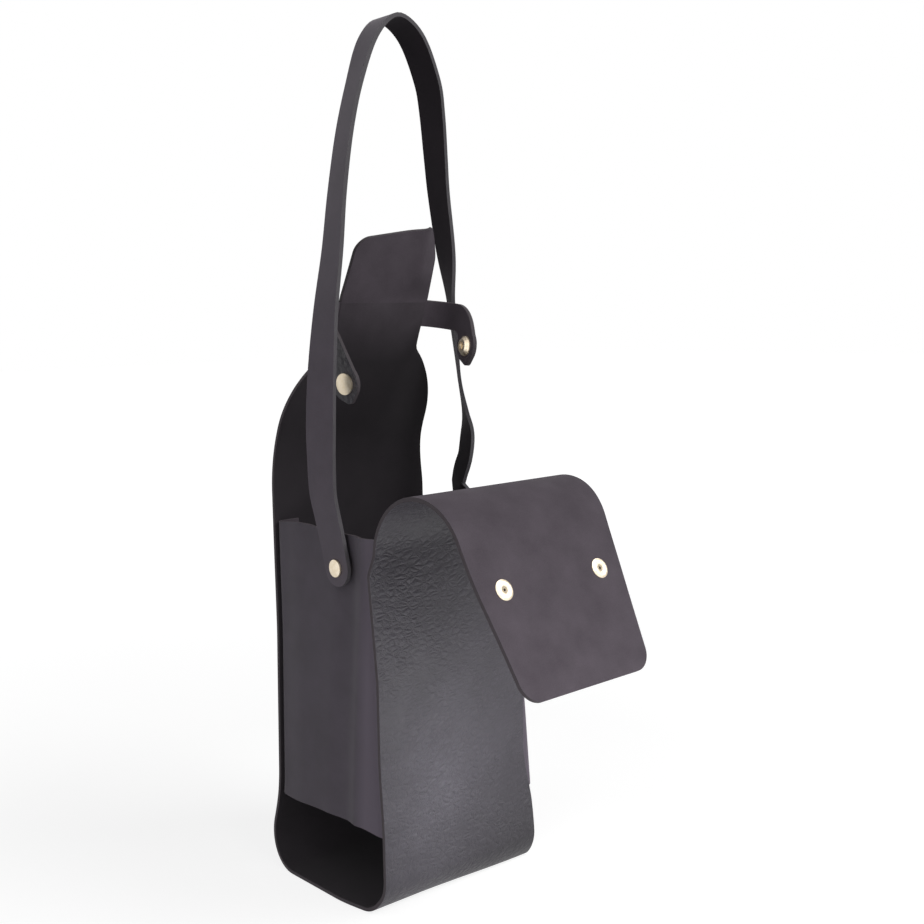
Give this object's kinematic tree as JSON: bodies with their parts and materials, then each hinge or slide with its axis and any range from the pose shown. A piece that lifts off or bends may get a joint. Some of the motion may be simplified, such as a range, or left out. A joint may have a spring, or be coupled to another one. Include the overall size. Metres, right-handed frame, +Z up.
{
  "type": "bottle carrier",
  "caption": "Upright leather carrier for one wine bottle, with open lower sides, a flap and arms that snap shut round the neck, and a riveted carry strap.",
  "frame": {"origin": "middle of the underside of the base, halfway between the front and back panels", "axes": "+Z up, -Y out of the front panel, +X to the right of someone who looks along +Y at the front"},
  "size_m": [0.1233, 0.1814, 0.4341],
  "materials": {
    "wrap_leather": "pebbled grain outside, smooth suede inside",
    "gusset_leather": "smooth matt",
    "strap_leather": "smooth matt",
    "pale_brass": "polished pale brass",
    "spring_steel": "bright wire"
  },
  "bodies": {
    "root": {"body_wrap": "wrap_leather", "left_gusset": "gusset_leather", "right_gusset": "gusset_leather", "left_rivet_cap": "pale_brass", "left_rivet_base": "pale_brass", "right_rivet_cap": "pale_brass", "right_rivet_base": "pale_brass"},
    "roll": {"flap_roll": "wrap_leather"},
    "flap": {"closing_flap": "wrap_leather", "left_flap_stud": "pale_brass", "left_flap_eyelet": "pale_brass", "right_flap_stud": "pale_brass", "right_flap_eyelet": "pale_brass"},
    "tongue": {"top_tongue": "wrap_leather"},
    "arm_left": {"left_arm": "wrap_leather", "left_arm_snap_cap": "pale_brass", "left_arm_snap_socket": "pale_brass", "left_arm_snap_spring": "spring_steel"},
    "arm_right": {"right_arm": "wrap_leather", "right_arm_snap_cap": "pale_brass", "right_arm_snap_socket": "pale_brass", "right_arm_snap_spring": "spring_steel"},
    "strap": {"carry_strap": "strap_leather"}
  },
  "joints": [
    {"name": "roll_fold", "type": "hinge", "parent": "root", "child": "roll", "pos_m": [0, -0.04757, 0.19559], "axis": [-1, 0, 0], "range_deg": [0, 75]},
    {"name": "flap_fold", "type": "hinge", "parent": "roll", "child": "flap", "pos_m": [0, -0.08461, 0.20482], "axis": [-1, 0, 0], "range_deg": [0, 75]},
    {"name": "tongue_fold", "type": "hinge", "parent": "root", "child": "tongue", "pos_m": [0, 0.00772, 0.29791], "axis": [1, 0, 0], "range_deg": [-20, 75]},
    {"name": "left_arm_fold", "type": "hinge", "parent": "root", "child": "arm_left", "pos_m": [-0.0293, 0.01128, 0.28911], "axis": [0, -0.3746, 0.9272], "range_deg": [-13, 52]},
    {"name": "right_arm_fold", "type": "hinge", "parent": "root", "child": "arm_right", "pos_m": [0.0293, 0.01128, 0.28911], "axis": [0, 0.3746, -0.9272], "range_deg": [-18, 46]},
    {"name": "strap_swing", "type": "hinge", "parent": "root", "child": "strap", "pos_m": [0, -0.016, 0.169], "axis": [-1, 0, 0], "range_deg": [-8, 115]}
  ],
  "couplings": [
    {"joint": "flap_fold", "follows": "roll_fold", "ratio": 1}
  ]
}
